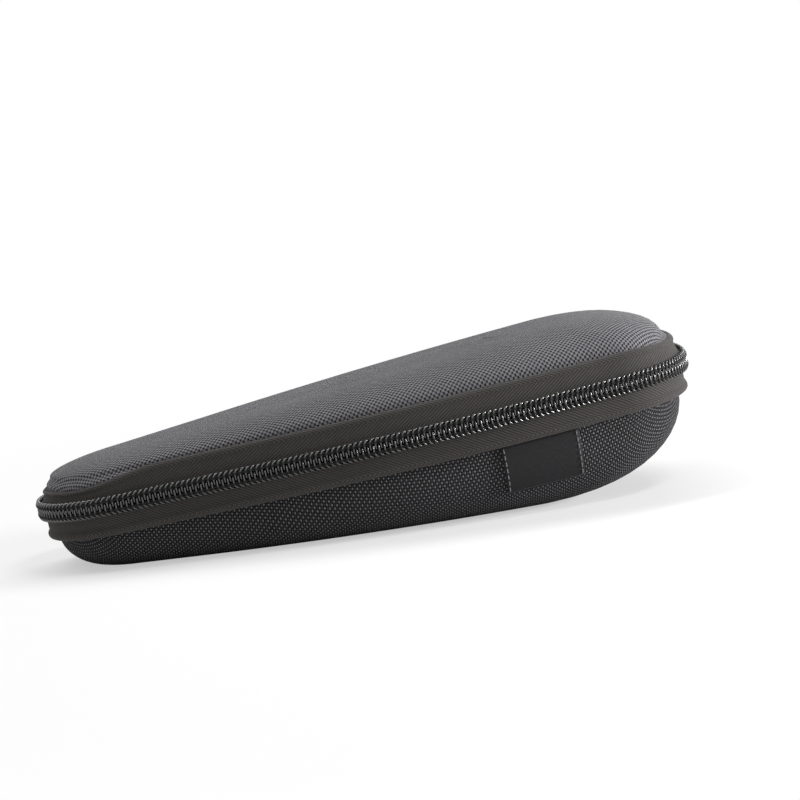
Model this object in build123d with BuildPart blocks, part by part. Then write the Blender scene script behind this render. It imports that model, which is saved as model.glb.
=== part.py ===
from build123d import *
import math
import os

# A zipped hard case for an electric shaver: two moulded foam shells covered in woven nylon,
# joined by a coil zip that runs all round and by a fabric hinge in the far long side.
# Everything follows the seam, the plane in which the two halves of the zip meet. Seam x runs
# from the narrow end to the wide one, seam y to the hinge side, seam z up into the lid.
# The seam is tilted, so that the flat bottom of the base rests on Z = 0.

# Plan outline of the zip's centre line, mirrored about the seam's x axis
nose_radius = 25.0
side_angle = 11.0
straight_length = 47.0
side_radius = 300.0
side_end_angle = 8.5
corner_radius = 27.0
end_radius = 67.0

# Seam over the bottom, and the lid over the seam, both under the nose's centre
seam_tilt = 5.5
base_depth = 20.2
lid_height = 11.1
lid_slope = 2.8

# Moulded form of each half
lid_wall_inset = 4.6
base_wall_inset = 3.2
wall_height = 8.6
rim_height = 4.8
lid_flange_inset = 3.0
base_flange_inset = 1.7
flange_height = 8.0
lid_crown = 11.0
lid_end_pull = 18.0
base_crown = 11.0
base_end_pull = 34.0
crown_angles = (0.0, 22.5, 45.0, 67.5, 90.0)

# Layers of each half, from outside to inside
cover_thickness = 0.7
foam_thickness = 2.4
lining_thickness = 0.6
glue_gap = 0.1
binding_thickness = 0.5

# Zip tape, on the flange at its free edge and free towards the coil
tape_inset = 0.8
tape_thickness = 0.7
tape_low = 1.2
tape_high = 8.5
roll_proud = 0.4
roll_width = 1.7

# Coil of the zip, its core cord and its sewing thread
coil_low = 0.15
coil_high = 2.75
coil_proud = 1.2
coil_back = 0.7
core_inset = -0.5
core_low = 1.0
core_width = 0.9
core_clearance = 0.1
thread_low = 1.15
thread_width = 0.5
thread_height = 0.3

# Hinge strip in the far side, and the stretches beside it where both halves of the zip stay joined
hinge_start = 48.0
hinge_end = 108.0
hinge_inset = 0.1
hinge_gap = 0.15
joined_narrow_length = 27.0
joined_wide_length = 15.0
joined_height = 4.1
end_clearance = 0.3
stop_length = 1.6

# Slider of the zip, parked at the hinge's narrow end, its way along the straight stretch, and its pull tab
slider_place = 40.5
slider_length = 10.0
slider_half_width = 4.0
slider_plate = 1.0
slider_clearance = 0.3
slider_travel = 40.0
post_length = 2.4
post_half_width = 0.7
lip_width = 0.8
lip_height = 1.3
bridge_length = 6.4
bridge_half_width = 1.2
bridge_height = 2.4
bridge_wall = 0.8
bridge_fillet = 0.4
pin_radius = 0.45
arm_width = 1.1
arm_gap = 0.3
tab_length = 17.0
tab_half_width = 2.6
tab_thickness = 1.0
tab_hole_radius = 1.4

# Label sewn on the near side of the base
label_place = 115.5
label_width = 23.0
label_height = 14.0
label_thickness = 0.5
stitch_edge = 0.7
stitch_width = 0.35
stitch_height = 0.2
stitch_length = 1.2
stitch_pitch = 1.9

os.makedirs("parts", exist_ok=True)


def turned(angle):
    """Unit vector in the plan at an angle from the seam's x axis, in degrees."""
    return Vector(math.cos(math.radians(angle)), math.sin(math.radians(angle)))


def outline_end_angle(inset, pull):
    """Angle at which the corner arc hands over to the end arc, which is centred on the axis."""
    start = turned(90 + side_angle) * nose_radius + turned(side_angle) * (straight_length - pull)
    side_centre = start - turned(90 + side_angle) * side_radius
    corner_centre = side_centre + turned(90 - side_end_angle) * (side_radius - corner_radius)
    return math.degrees(math.acos(corner_centre.Y / (end_radius - corner_radius)))


def outline(inset, pull=0.0, mode=Mode.ADD):
    """Add the face inside the plan outline, drawn in by an inset, with its wide end pulled in."""
    end_angle = outline_end_angle(inset, pull)
    start = turned(90 + side_angle) * (nose_radius - inset)
    with BuildLine() as line:
        straight = Line(start, start + turned(side_angle) * (straight_length - pull))
        side = JernArc(straight @ 1, straight % 1, side_radius - inset, -side_angle - side_end_angle)
        corner = JernArc(side @ 1, side % 1, corner_radius - inset, side_end_angle - end_angle)
        JernArc(corner @ 1, corner % 1, end_radius - inset, end_angle - 90)
        JernArc(start, -(straight % 0), nose_radius - inset, 90 - side_angle)
        mirror(about=Plane.XZ)
    make_face(line.edges(), mode=mode)


def plan_face(plane, inset, pull=0.0):
    """Sketch of the plan outline alone on a plane."""
    with BuildSketch(plane) as face:
        outline(inset, pull)
    return face.sketch


def outline_tip():
    """Seam x of the outline's wide tip."""
    end_angle = outline_end_angle(0, 0)
    start = turned(90 + side_angle) * nose_radius + turned(side_angle) * straight_length
    side_centre = start - turned(90 + side_angle) * side_radius
    corner_centre = side_centre + turned(90 - side_end_angle) * (side_radius - corner_radius)
    end_centre = corner_centre - turned(90 - end_angle) * (end_radius - corner_radius)
    return end_centre.X + end_radius


tilt = math.radians(seam_tilt)
seam_x = -(outline_tip() - nose_radius) / 2 * math.cos(tilt)
seam = Plane(
    origin=(seam_x, 0, base_depth),
    x_dir=(math.cos(tilt), 0, math.sin(tilt)),
    z_dir=(-math.sin(tilt), 0, math.cos(tilt)),
)


def level(height, slope):
    """Plane over the seam at a height above its origin, climbing along x by a slope."""
    angle = tilt + math.atan(slope)
    return Plane(
        origin=seam.from_local_coords((0, 0, height)),
        x_dir=(math.cos(angle), 0, math.sin(angle)),
        z_dir=(-math.sin(angle), 0, math.cos(angle)),
    )


class Half:
    """One half of the case: which side of the seam it is on, and the form of its crown."""

    def __init__(self, side, wall, flange, top, slope, crown, end_pull):
        self.side = side
        self.wall = wall
        self.flange = flange
        self.top = top
        self.slope = slope
        self.crown = crown
        self.end_pull = end_pull

    def band(self, outer, inner, low, high, mode=Mode.ADD):
        """Wall that follows the outline between two insets and two heights over the seam."""
        plane = seam.offset(self.side * low)
        rise = self.side * (high - low)
        with BuildSketch(plane) as ring:
            outline(outer)
            outline(inner, mode=Mode.SUBTRACT)
        extrude(ring.sketch, amount=rise, mode=mode)

    def slanted_band(self, outer, inner, low, high):
        """Band from one inset near the seam to another one at its free edge, of one thickness."""
        planes = (seam.offset(self.side * low), seam.offset(self.side * high))
        loft([plan_face(planes[0], outer), plan_face(planes[1], inner)], ruled=True)
        loft(
            [plan_face(planes[0], outer + tape_thickness), plan_face(planes[1], inner + tape_thickness)],
            ruled=True,
            mode=Mode.SUBTRACT,
        )

    def edging(self, start_inset, low):
        """Zip tape or hinge strip: a slanted band whose free edge is rolled over the flange."""
        back = self.flange - glue_gap
        self.slanted_band(start_inset, back - tape_thickness, low, tape_high)
        roll_outer = back - tape_thickness - roll_proud
        self.band(roll_outer, back, tape_high - roll_width, tape_high)

    def form(self, depth, flange=True, mode=Mode.ADD):
        """Solid form of the half, drawn in by a depth all round, from its rim to its crown."""
        rim = seam.offset(self.side * rim_height)
        if flange:
            rise = self.side * (flange_height - depth - rim_height)
            extrude(plan_face(rim, self.flange + depth), amount=rise, mode=mode)
        shoulder = wall_height - depth
        rise = self.side * (shoulder - rim_height)
        extrude(plan_face(rim, self.wall + depth), amount=rise, mode=mode)
        sections = []
        for angle in crown_angles:
            drawn_in = 1 - math.cos(math.radians(angle))
            raised = math.sin(math.radians(angle))
            plane = level(
                self.side * (shoulder + raised * (self.top - wall_height)),
                self.side * raised * self.slope,
            )
            inset = self.wall + depth + self.crown * drawn_in
            sections.append(plan_face(plane, inset, self.end_pull * drawn_in))
        loft(sections, mode=mode)


lid = Half(
    1,
    lid_wall_inset,
    lid_flange_inset,
    lid_height,
    math.tan(math.radians(lid_slope)),
    lid_crown,
    lid_end_pull,
)
base = Half(
    -1,
    base_wall_inset,
    base_flange_inset,
    base_depth / math.cos(tilt),
    math.tan(tilt),
    base_crown,
    base_end_pull,
)

foam_depth = cover_thickness + glue_gap
lining_depth = foam_depth + foam_thickness + glue_gap
cavity_depth = lining_depth + lining_thickness


def write(part, name):
    """Label a finished piece and write it to its own file."""
    part.label = name
    export_step(part, f"parts/{name}.step")


def far_side_block(start, end, low, high, mode):
    """Block over the far long side, between two places along the seam and two heights."""
    with BuildSketch(seam.offset(low)) as block:
        with Locations(((start + end) / 2, end_radius / 2)):
            Rectangle(end - start, end_radius)
    extrude(block.sketch, amount=high - low, mode=mode)


# Shells, covers and linings

for name, half in (("lid", lid), ("base", base)):
    with BuildPart() as cover:
        half.form(0)
        half.form(cover_thickness, mode=Mode.SUBTRACT)
    write(cover.part, f"{name}_cover")

    with BuildPart() as foam:
        half.form(foam_depth)
        half.form(foam_depth + foam_thickness, flange=False, mode=Mode.SUBTRACT)
    write(foam.part, f"{name}_shell")

    with BuildPart() as lining:
        half.form(lining_depth, flange=False)
        half.form(cavity_depth, flange=False, mode=Mode.SUBTRACT)
    write(lining.part, f"{name}_lining")

    with BuildPart() as binding:
        top = rim_height - glue_gap
        half.band(half.flange, half.wall + cavity_depth, top - binding_thickness, top)
    write(binding.part, f"{name}_rim_binding")

# Zip tapes, coils, core cords and threads

zip_start = hinge_start - end_clearance
zip_end = hinge_end + end_clearance
joined_start = hinge_start - joined_narrow_length
joined_end = hinge_end + joined_wide_length
coil_start = zip_start - stop_length - end_clearance
coil_end = zip_end + stop_length + end_clearance
slot_start = slider_place + slider_length / 2 - post_length - slider_travel - slider_clearance
slot_half_width = post_half_width + slider_clearance
over = tape_high + end_clearance


def far_side_cuts(half, spans, low=0.0):
    """Take stretches out of the far side of a half, from a height over the seam outwards."""
    bottom, top = sorted((half.side * low, half.side * over))
    for start, end in spans:
        far_side_block(start, end, bottom, top, Mode.SUBTRACT)


def coil_row(half):
    """One row of the coil, hollow where its core cord runs and slotted where the slider's post runs."""
    half.band(-coil_proud, coil_back, coil_low, coil_high)
    half.band(
        core_inset - core_clearance,
        core_inset + core_width + core_clearance,
        core_low - core_clearance,
        core_low + core_width + core_clearance,
        Mode.SUBTRACT,
    )
    far_side_block(slot_start, zip_start, -slot_half_width, slot_half_width, Mode.SUBTRACT)


both_joined = [(joined_start - end_clearance, joined_end + end_clearance)]
zip_gap = [(zip_start, zip_end)]
coil_gap = [(coil_start, coil_end)]

for name, half, tape_gap, chain_gap in (
    ("base", base, zip_gap, coil_gap),
    ("lid", lid, zip_gap, both_joined),
):
    with BuildPart() as tape:
        half.edging(tape_inset, tape_low)
        far_side_cuts(half, zip_gap)
        if half is lid:
            bottom = joined_height + end_clearance
            far_side_block(joined_start - end_clearance, joined_end + end_clearance, 0, bottom, Mode.SUBTRACT)
    write(tape.part, f"{name}_zipper_tape")

    with BuildPart() as coil:
        coil_row(half)
        far_side_cuts(half, chain_gap)
    write(coil.part, f"{name}_coil")

    with BuildPart() as core:
        half.band(core_inset, core_inset + core_width, core_low, core_low + core_width)
        far_side_cuts(half, chain_gap)
    write(core.part, f"{name}_coil_core")

    with BuildPart() as thread:
        half.band(-coil_proud - thread_height, -coil_proud, thread_low, thread_low + thread_width)
        far_side_cuts(half, both_joined)
    write(thread.part, f"{name}_coil_thread")

    with BuildPart() as strip:
        half.edging(hinge_inset, hinge_gap)
        bottom, top = sorted((0, half.side * over))
        far_side_block(hinge_start, hinge_end, bottom, top, Mode.INTERSECT)
    write(strip.part, f"{name}_hinge_strip")

# Stretches beside the hinge where the lid's side of the zip stays joined to the base's side

with BuildPart() as joined_tape_ends:
    lid.edging(tape_inset, tape_low)
    far_side_block(joined_start, joined_end, 0, joined_height, Mode.INTERSECT)
    far_side_cuts(lid, zip_gap)
write(joined_tape_ends.part, "joined_tape_ends")

with BuildPart() as joined_coil_ends:
    coil_row(lid)
    far_side_block(joined_start, joined_end, 0, joined_height, Mode.INTERSECT)
    far_side_cuts(lid, coil_gap)
write(joined_coil_ends.part, "joined_coil_ends")

with BuildPart() as zipper_stops:
    lid.band(-coil_proud - thread_height, tape_inset - glue_gap, -coil_high, coil_high)
    far_side_block(zip_start - stop_length, zip_end + stop_length, -over, over, Mode.INTERSECT)
    far_side_block(zip_start, zip_end, -over, over, Mode.SUBTRACT)
    far_side_block(zip_start - stop_length, zip_start, -coil_low, coil_low, Mode.SUBTRACT)
write(zipper_stops.part, "zipper_stops")

# Slider and pull tab, on the straight stretch of the zip's far side


def on_far_straight(along):
    """Plane on the zip's centre line at a seam x, its z axis outwards and its x axis to the wide end."""
    wide = math.cos(math.radians(side_angle))
    deep = math.sin(math.radians(side_angle))
    start_y = nose_radius * wide + (along + nose_radius * deep) * deep / wide
    return Plane(
        origin=seam.from_local_coords((along, start_y, 0)),
        x_dir=seam.x_dir * wide + seam.y_dir * deep,
        z_dir=seam.y_dir * wide - seam.x_dir * deep,
    )


slider_plane = on_far_straight(slider_place)
front_low = coil_proud + thread_height + slider_clearance
front_high = front_low + slider_plate
tape_lean = (lid.flange - glue_gap - tape_thickness - tape_inset) / (tape_high - tape_low)
tape_back = tape_inset + tape_thickness + tape_lean * (slider_half_width - tape_low)
back_high = -(tape_back + slider_clearance)
back_low = back_high - slider_plate
post_place = (slider_length - post_length) / 2
lip_place = slider_half_width - lip_width / 2
window_height = bridge_height - bridge_wall
pin_height = front_high + window_height / 2

with BuildPart() as slider_body:
    for low in (back_low, front_low):
        with BuildSketch(slider_plane.offset(low)):
            RectangleRounded(slider_length, 2 * slider_half_width, lip_width)
        extrude(amount=slider_plate)
    with BuildSketch(slider_plane.offset(back_high)):
        with Locations((post_place, 0)):
            RectangleRounded(post_length, 2 * post_half_width, post_half_width / 2)
    extrude(amount=front_low - back_high)
    with BuildSketch(slider_plane.offset(front_low)):
        with Locations((0, lip_place), (0, -lip_place)):
            Rectangle(slider_length - 2 * lip_width, lip_width)
    extrude(amount=-lip_height)
    with BuildSketch(slider_plane.offset(front_high)):
        RectangleRounded(bridge_length, 2 * bridge_half_width, bridge_fillet)
    extrude(amount=bridge_height)
    with BuildSketch(slider_plane.offset(front_high)):
        Rectangle(bridge_length - 2 * bridge_wall, 2 * bridge_half_width)
    extrude(amount=window_height, mode=Mode.SUBTRACT)
write(slider_body.part, "slider_body")

arm_inner = bridge_half_width + arm_gap
arm_place = arm_inner + arm_width / 2
arm_reach = slider_length / 2 + arm_width

with BuildPart() as pull_tab:
    with BuildSketch(slider_plane.offset(pin_height - tab_thickness / 2)):
        with Locations((-arm_reach / 2, arm_place), (-arm_reach / 2, -arm_place)):
            SlotOverall(arm_reach + arm_width, arm_width)
        with Locations((-arm_reach - tab_length / 2, 0)):
            RectangleRounded(tab_length, 2 * tab_half_width, tab_half_width / 2)
        with Locations((-arm_reach - tab_length + tab_half_width, 0)):
            Circle(tab_hole_radius, mode=Mode.SUBTRACT)
    extrude(amount=tab_thickness)
    across = Plane(origin=slider_plane.origin, x_dir=slider_plane.x_dir, z_dir=slider_plane.y_dir)
    with BuildSketch(across):
        with Locations((0, -pin_height)):
            Circle(pin_radius)
    extrude(amount=arm_inner + arm_width / 2, both=True)
write(pull_tab.part, "pull_tab")

# Label and its stitches, on the near side of the base under the tape's rolled edge

label_top = -wall_height - end_clearance
label_plane = Plane(
    origin=seam.from_local_coords((label_place, -end_radius, label_top - label_height / 2)),
    x_dir=seam.x_dir,
    z_dir=-seam.y_dir,
)
label_depth = -(glue_gap + label_thickness)
stitch_count = int((label_height - stitch_length) / stitch_pitch) + 1

with BuildPart() as label:
    base.form(label_depth, flange=False)
    base.form(-glue_gap, flange=False, mode=Mode.SUBTRACT)
    with BuildSketch(label_plane) as patch:
        Rectangle(label_width, label_height)
    extrude(patch.sketch, amount=-end_radius, mode=Mode.INTERSECT)
write(label.part, "label")

with BuildPart() as label_stitching:
    base.form(label_depth - stitch_height, flange=False)
    base.form(label_depth, flange=False, mode=Mode.SUBTRACT)
    with BuildSketch(label_plane) as dashes:
        with GridLocations(label_width - 2 * stitch_edge, stitch_pitch, 2, stitch_count):
            Rectangle(stitch_width, stitch_length)
    extrude(dashes.sketch, amount=-end_radius, mode=Mode.INTERSECT)
write(label_stitching.part, "label_stitching")
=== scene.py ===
"""Dresses the zipped hard case for an electric shaver: woven covers, zip, slider, hinge, label and stage."""

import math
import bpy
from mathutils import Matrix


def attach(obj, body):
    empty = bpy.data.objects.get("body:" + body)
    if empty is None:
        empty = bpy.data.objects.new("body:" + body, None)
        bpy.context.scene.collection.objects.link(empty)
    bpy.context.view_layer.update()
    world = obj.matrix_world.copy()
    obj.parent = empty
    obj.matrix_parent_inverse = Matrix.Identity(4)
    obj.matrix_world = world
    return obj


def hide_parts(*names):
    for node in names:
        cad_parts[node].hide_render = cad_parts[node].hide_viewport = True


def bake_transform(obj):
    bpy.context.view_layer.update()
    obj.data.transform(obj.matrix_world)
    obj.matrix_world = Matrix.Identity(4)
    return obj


bl_info = {
    "name": "Zipped Shaver Case",
    "version": (1, 0, 0),
    "blender": (4, 5, 0),
    "location": "3D View > Sidebar > Shaver Case",
    "description": "Woven nylon hard case with a coil zip, a webbing hinge and a bare label",
    "category": "Add Mesh",
}

import bmesh
import bpy
import numpy as np
from bpy.props import FloatProperty, FloatVectorProperty, PointerProperty
from mathutils import Matrix, Vector

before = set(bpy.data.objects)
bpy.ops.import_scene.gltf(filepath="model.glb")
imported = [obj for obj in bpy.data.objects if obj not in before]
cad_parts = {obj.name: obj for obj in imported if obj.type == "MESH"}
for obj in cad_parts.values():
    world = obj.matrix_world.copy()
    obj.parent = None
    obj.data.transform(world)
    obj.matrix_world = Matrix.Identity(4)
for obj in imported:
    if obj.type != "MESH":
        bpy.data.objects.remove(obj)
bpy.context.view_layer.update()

MM = 0.001
TURN = 2 * math.pi
WEAVE = "weave"

# Points on the outline's five spans (nose, straight, side, corner, wide end) and in its lookup of places
SPAN_POINTS = (30, 40, 86, 30, 12)
LOOKUP_POINTS = 8001
# Steps of a cover's crown and of its top from the crown to the spine
CROWN_STEPS = 15
TOP_STEPS = 14

# Zip tape: thickness, clearance at cut ends, and where the lid's tape parts from the joined stretches
TAPE_THICKNESS = 0.7 * MM
CUT_CLEARANCE = 0.3 * MM
JOINED_TOP = 4.1 * MM
LID_TAPE_ABOVE = 4.4 * MM
# Points on the outer side of a tape's section: the leaning band and the rolled edge
BAND_POINTS = 7
ROLL_POINTS = 12


# Sizes and colours that a user would change


def length(name, description, default):
    return FloatProperty(
        name=name, description=description, default=default, min=0.0, unit="LENGTH", precision=5
    )


def angle(name, description, degrees):
    return FloatProperty(name=name, description=description, default=math.radians(degrees), subtype="ANGLE")


def colour(name, description, default):
    return FloatVectorProperty(
        name=name, description=description, default=default, min=0.0, max=1.0, size=3, subtype="COLOR"
    )


class CaseSizes(bpy.types.PropertyGroup):
    """Sizes of the case's outline, its two moulded halves and the zip"""

    nose_radius: length("Nose Radius", "Radius of the narrow end on the zip's centre line", 0.025)
    side_angle: angle("Side Angle", "Angle of the straight sides to the long axis", 11.0)
    straight_length: length("Straight Length", "Length of each straight side", 0.047)
    side_radius: length("Side Radius", "Radius of the long curve after the straight side", 0.3)
    side_end_angle: angle("Side End Angle", "Angle at which the long curve ends", 8.5)
    corner_radius: length("Corner Radius", "Radius of the two corners at the wide end", 0.027)
    end_radius: length("End Radius", "Radius of the wide end", 0.067)
    seam_tilt: angle("Seam Tilt", "Tilt of the zip's plane over the table", 5.5)
    base_depth: length("Base Depth", "Depth of the base under the nose's centre", 0.0202)
    lid_height: length("Lid Height", "Height of the lid over the nose's centre", 0.012)
    lid_slope: angle("Lid Slope", "Slope of the lid's top to the zip's plane", 2.8)
    lid_wall: length("Lid Wall Inset", "Inset of the lid's wall from the zip's centre line", 0.0046)
    base_wall: length("Base Wall Inset", "Inset of the base's wall from the zip's centre line", 0.0032)
    lid_flange: length("Lid Flange Inset", "Inset of the lid's flange", 0.003)
    base_flange: length("Base Flange Inset", "Inset of the base's flange", 0.0017)
    wall_height: length("Wall Height", "Height at which the crown of each half starts", 0.0086)
    lid_crown: length("Lid Crown", "How far the rounded crown of the lid draws in", 0.0185)
    base_crown: length("Base Crown", "How far the rounded crown of the base draws in", 0.011)
    nose_tape: length("Nose Tape", "How far the lid's tape comes down round the narrow end", 0.0034)
    tip_tape: length("Tip Tape", "How far the lid's tape comes down round the wide end", 0.0013)
    lid_end_pull: length("Lid End Pull", "How far the lid's wide end is drawn back at the top", 0.018)
    base_end_pull: length("Base End Pull", "How far the base's wide end is drawn back at the bottom", 0.034)
    tooth_pitch: length("Tooth Pitch", "Distance between two loops of one row of the coil", 0.00154)
    strand_radius: length("Strand Radius", "Radius of the coil's monofilament", 0.00027)
    hinge_start: length("Hinge Start", "Place along the case where the hinge strip starts", 0.048)
    hinge_end: length("Hinge End", "Place along the case where the hinge strip ends", 0.108)
    joined_start: length("Joined Start", "Place where the joined stretch at the narrow end starts", 0.021)
    joined_end: length("Joined End", "Place where the joined stretch at the wide end ends", 0.123)
    slider_place: length("Slider Place", "Place of the slider along the case", 0.0405)
    slot_start: length("Slot Start", "Place where the two rows stand fully apart for the slider", 0.0028)
    tape_low: length("Tape Low Edge", "Height of a tape's lower edge over the zip's centre line", 0.0012)
    label_place: length("Label Place", "Place of the label's middle along the case", 0.1155)
    label_width: length("Label Width", "Width of the sewn label", 0.023)
    label_height: length("Label Height", "Height of the sewn label", 0.014)


class CaseFinishes(bpy.types.PropertyGroup):
    """Colours and yarn sizes of the case's materials"""

    yarn_pitch: length("Yarn Pitch", "Distance between two yarns of the nylon weave", 0.0007)
    lid_yarn: colour("Lid Yarn", "Nylon yarn of the lid", (0.092, 0.0895, 0.0955))
    base_yarn: colour("Base Yarn", "Nylon yarn of the base", (0.095, 0.092, 0.098))
    # Painted shade: the dark colour that the nylon's weave takes in its gaps and pinholes, where shade falls
    # between the yarns
    gap_shade: colour("Weave Gap", "Pinholes between the yarns", (0.008, 0.008, 0.0085))
    tape: colour("Zip Tape", "Yarn of the zip's tape", (0.054, 0.0505, 0.048))
    webbing: colour("Webbing", "Yarn of the hinge strip and the rim binding", (0.055, 0.053, 0.051))
    coil: colour("Coil", "Monofilament of the coil", (0.005, 0.005, 0.0055))
    thread: colour("Thread", "Sewing thread of the coil", (0.016, 0.016, 0.016))
    lacquer: colour("Lacquer", "Lacquered metal of slider and pull", (0.014, 0.014, 0.016))
    label: colour("Label", "Satin of the label", (0.017, 0.0165, 0.0175))
    label_thread: colour("Label Thread", "Thread that sews the label on", (0.2, 0.2, 0.205))
    lining: colour("Lining", "Brushed knit inside the case", (0.06, 0.06, 0.064))
    foam: colour("Foam", "Moulded foam of the shells", (0.05, 0.05, 0.052))
    floor: colour("Floor", "Table under the case", (0.86, 0.86, 0.86))


def sizes():
    return bpy.context.scene.case_sizes


def finishes():
    return bpy.context.scene.case_finishes


# Shader building


def both_ways(operation):
    """An operator on two values and its reflected form, each as one Math node."""

    def plain(self, other):
        return self.math(operation, other)

    def reflected(self, other):
        return self.finish.node("ShaderNodeMath", {"operation": operation}, {0: other, 1: self})

    return plain, reflected


class Value:
    """Socket of a shader tree that takes part in plain arithmetic."""

    def __init__(self, finish, socket):
        self.finish = finish
        self.socket = socket

    def math(self, operation, *others):
        inputs = dict(enumerate((self, *others)))
        return self.finish.node("ShaderNodeMath", {"operation": operation}, inputs)

    __add__, __radd__ = both_ways("ADD")
    __sub__, __rsub__ = both_ways("SUBTRACT")
    __mul__, __rmul__ = both_ways("MULTIPLY")
    __truediv__, __rtruediv__ = both_ways("DIVIDE")
    __pow__, __rpow__ = both_ways("POWER")

    def __gt__(self, other):
        return self.math("GREATER_THAN", other)

    def __abs__(self):
        return self.math("ABSOLUTE")

    def sine(self):
        return self.math("SINE")

    def clamped(self):
        return self.finish.node("ShaderNodeClamp", {}, {0: self})


class Finish:
    """Shader tree of a new material or world, with one method that adds any node."""

    def __init__(self, name, owners=None):
        owners = bpy.data.materials if owners is None else owners
        self.made = owners.new(name)
        self.made.use_nodes = True
        self.tree = self.made.node_tree
        self.tree.nodes.clear()

    def node(self, kind, settings, inputs, output=0):
        made = self.tree.nodes.new(kind)
        for key, value in settings.items():
            setattr(made, key, value)
        for key, value in inputs.items():
            if isinstance(value, Value):
                self.tree.links.new(value.socket, made.inputs[key])
            else:
                made.inputs[key].default_value = value
        return Value(self, made.outputs[output]) if made.outputs else None

    def axes(self, vector, names):
        """The named axes of a vector, as one value for each letter."""
        return [self.node("ShaderNodeSeparateXYZ", {}, {0: vector}, name) for name in names]

    def cloth_place(self):
        """The two cloth coordinates of a piece, in metres."""
        return self.axes(self.node("ShaderNodeAttribute", {"attribute_name": WEAVE}, {}, "Vector"), "XY")

    def case_place(self):
        """Place by the case's own axes, in metres."""
        return self.node("ShaderNodeTexCoord", {}, {}, "Object")

    def noise(self, scale, detail=2.0, roughness=0.5):
        inputs = {"Vector": self.case_place(), "Scale": scale, "Detail": detail, "Roughness": roughness}
        return self.node("ShaderNodeTexNoise", {}, inputs, "Fac")

    def blend(self, factor, low, high):
        """Mix of two colours."""
        inputs = {0: factor, 6: rgba(low), 7: rgba(high)}
        return self.node("ShaderNodeMix", {"data_type": "RGBA"}, inputs, 2)

    def bump(self, height, distance, strength):
        inputs = {"Strength": strength, "Distance": distance, "Height": height}
        return self.node("ShaderNodeBump", {}, inputs)

    def surface(self, **inputs):
        names = {key.replace("_", " "): value for key, value in inputs.items()}
        shader = self.node("ShaderNodeBsdfPrincipled", {}, names)
        self.node("ShaderNodeOutputMaterial", {}, {"Surface": shader})
        return self.made


def rgba(value):
    if isinstance(value, Value):
        return value
    return (*value, 1.0)


def tinted(colour_value, factor):
    return tuple(min(1.0, channel * factor) for channel in colour_value)


def plain_weave(finish, along, across, pitch):
    """Height of a plain weave (0 in its gaps, 1 on its crowns), its upper yarn and its pinholes."""
    wobble = finish.noise(180.0, 1.0) - 0.5
    wave_u = (along * (math.pi / pitch) + wobble * 0.4).sine()
    wave_v = (across * (math.pi / pitch) + wobble * 0.4).sine()
    warp_over = wave_u * wave_v > 0.0
    a = abs(wave_u)
    b = abs(wave_v)
    warp = a**0.7 * (b * 0.62 + 0.38)
    weft = b**0.7 * (a * 0.62 + 0.38)
    height = warp * warp_over + weft * (1.0 - warp_over)
    # The pinholes measure marks where the lid's nylon paints shade into its weave
    return height, warp_over, (a * b) ** 0.42 * warp_over


def nylon(name, yarn, sheen, lit_copy):
    """Coarse woven nylon with painted light: a lit copy with light yarns between dark pinholes of painted
    shade, or else a shaded copy with bright crowns of painted highlight on dark yarns of painted shade.
    """
    finish = Finish(name)
    along, across = finish.cloth_place()
    height, warp_over, pinholes = plain_weave(finish, along, across, finishes().yarn_pitch)
    lustre = finish.noise(900.0, 2.0) * 0.5 + finish.noise(35.0, 3.0) * 0.35 + 0.6
    # Lit copy, for the lid: painted shade darkens the pinholes, and the yarns stay light
    if lit_copy:
        relief = 1.0 - pinholes
        shade = relief * (height * 0.5 + 0.6)
    else:
        # Shaded copy, for the base: painted highlight on the crowns only, with the weft darkened by painted
        # shade
        weft_painted_shade = 0.2
        relief = height
        shade = height**2.4 * (warp_over * (1.0 - weft_painted_shade) + weft_painted_shade)
    # crown carries the painted light and shade of the weave
    crown = (shade * lustre).clamped()
    return finish.surface(
        # The blend runs from the painted shade of the gaps to the lit yarn on the crowns
        Base_Color=finish.blend(crown, finishes().gap_shade, tinted(yarn, 2.2)),
        Roughness=0.75 - crown * 0.25,
        Specular_IOR_Level=0.08,
        Sheen_Weight=sheen,
        Sheen_Roughness=0.4,
        Normal=finish.bump(relief, 0.4 * MM, 1.0),
    )


def herringbone(name, yarn):
    """Zip tape: fine diagonal ribs that turn at a chevron line, crossed by short floats."""
    finish = Finish(name)
    along, across = finish.cloth_place()
    chevron_line = 7.7 * MM
    rib_pitch = 0.74 * MM
    float_pitch = 0.52 * MM
    float_slant = 1.9 * MM
    chevron = abs(across - chevron_line)
    rib_phase = (chevron * 0.84 - along * 0.55) * (TURN / rib_pitch)
    rib = (rib_phase + finish.noise(400.0) * 1.6).sine() * 0.5 + 0.5
    floats = (along * (TURN / float_pitch) + chevron * (TURN / float_slant)).sine() * 0.5 + 0.5
    fibres = finish.noise(1600.0, 2.0)
    height = rib * 0.55 + floats * rib * 0.25 + fibres * 0.2
    wear = finish.noise(60.0, 3.0) * 0.5 + 0.75
    colours = finish.blend((height * wear).clamped(), tinted(yarn, 0.5), tinted(yarn, 1.4))
    return finish.surface(
        Base_Color=colours,
        Roughness=0.85 - height * 0.1,
        Specular_IOR_Level=0.12,
        Sheen_Weight=0.06,
        Sheen_Roughness=0.5,
        Normal=finish.bump(height, 0.14 * MM, 0.8),
    )


def ribbed_webbing(name, yarn):
    """Webbing with ribs along its length, broken by the weft."""
    finish = Finish(name)
    along, across = finish.cloth_place()
    rib_pitch = 0.9 * MM
    weft_pitch = 0.6 * MM
    rib = (across * (TURN / rib_pitch)).sine() * 0.5 + 0.5
    weft = (along * (TURN / weft_pitch)).sine() * 0.5 + 0.5
    height = rib * (0.7 + weft * 0.3)
    wear = finish.noise(70.0) * 0.5 + 0.75
    colours = finish.blend((height * wear).clamped(), tinted(yarn, 0.35), tinted(yarn, 1.3))
    return finish.surface(
        Base_Color=colours,
        Roughness=0.85,
        Specular_IOR_Level=0.12,
        Sheen_Weight=0.06,
        Normal=finish.bump(height, 0.2 * MM, 0.8),
    )


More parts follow.
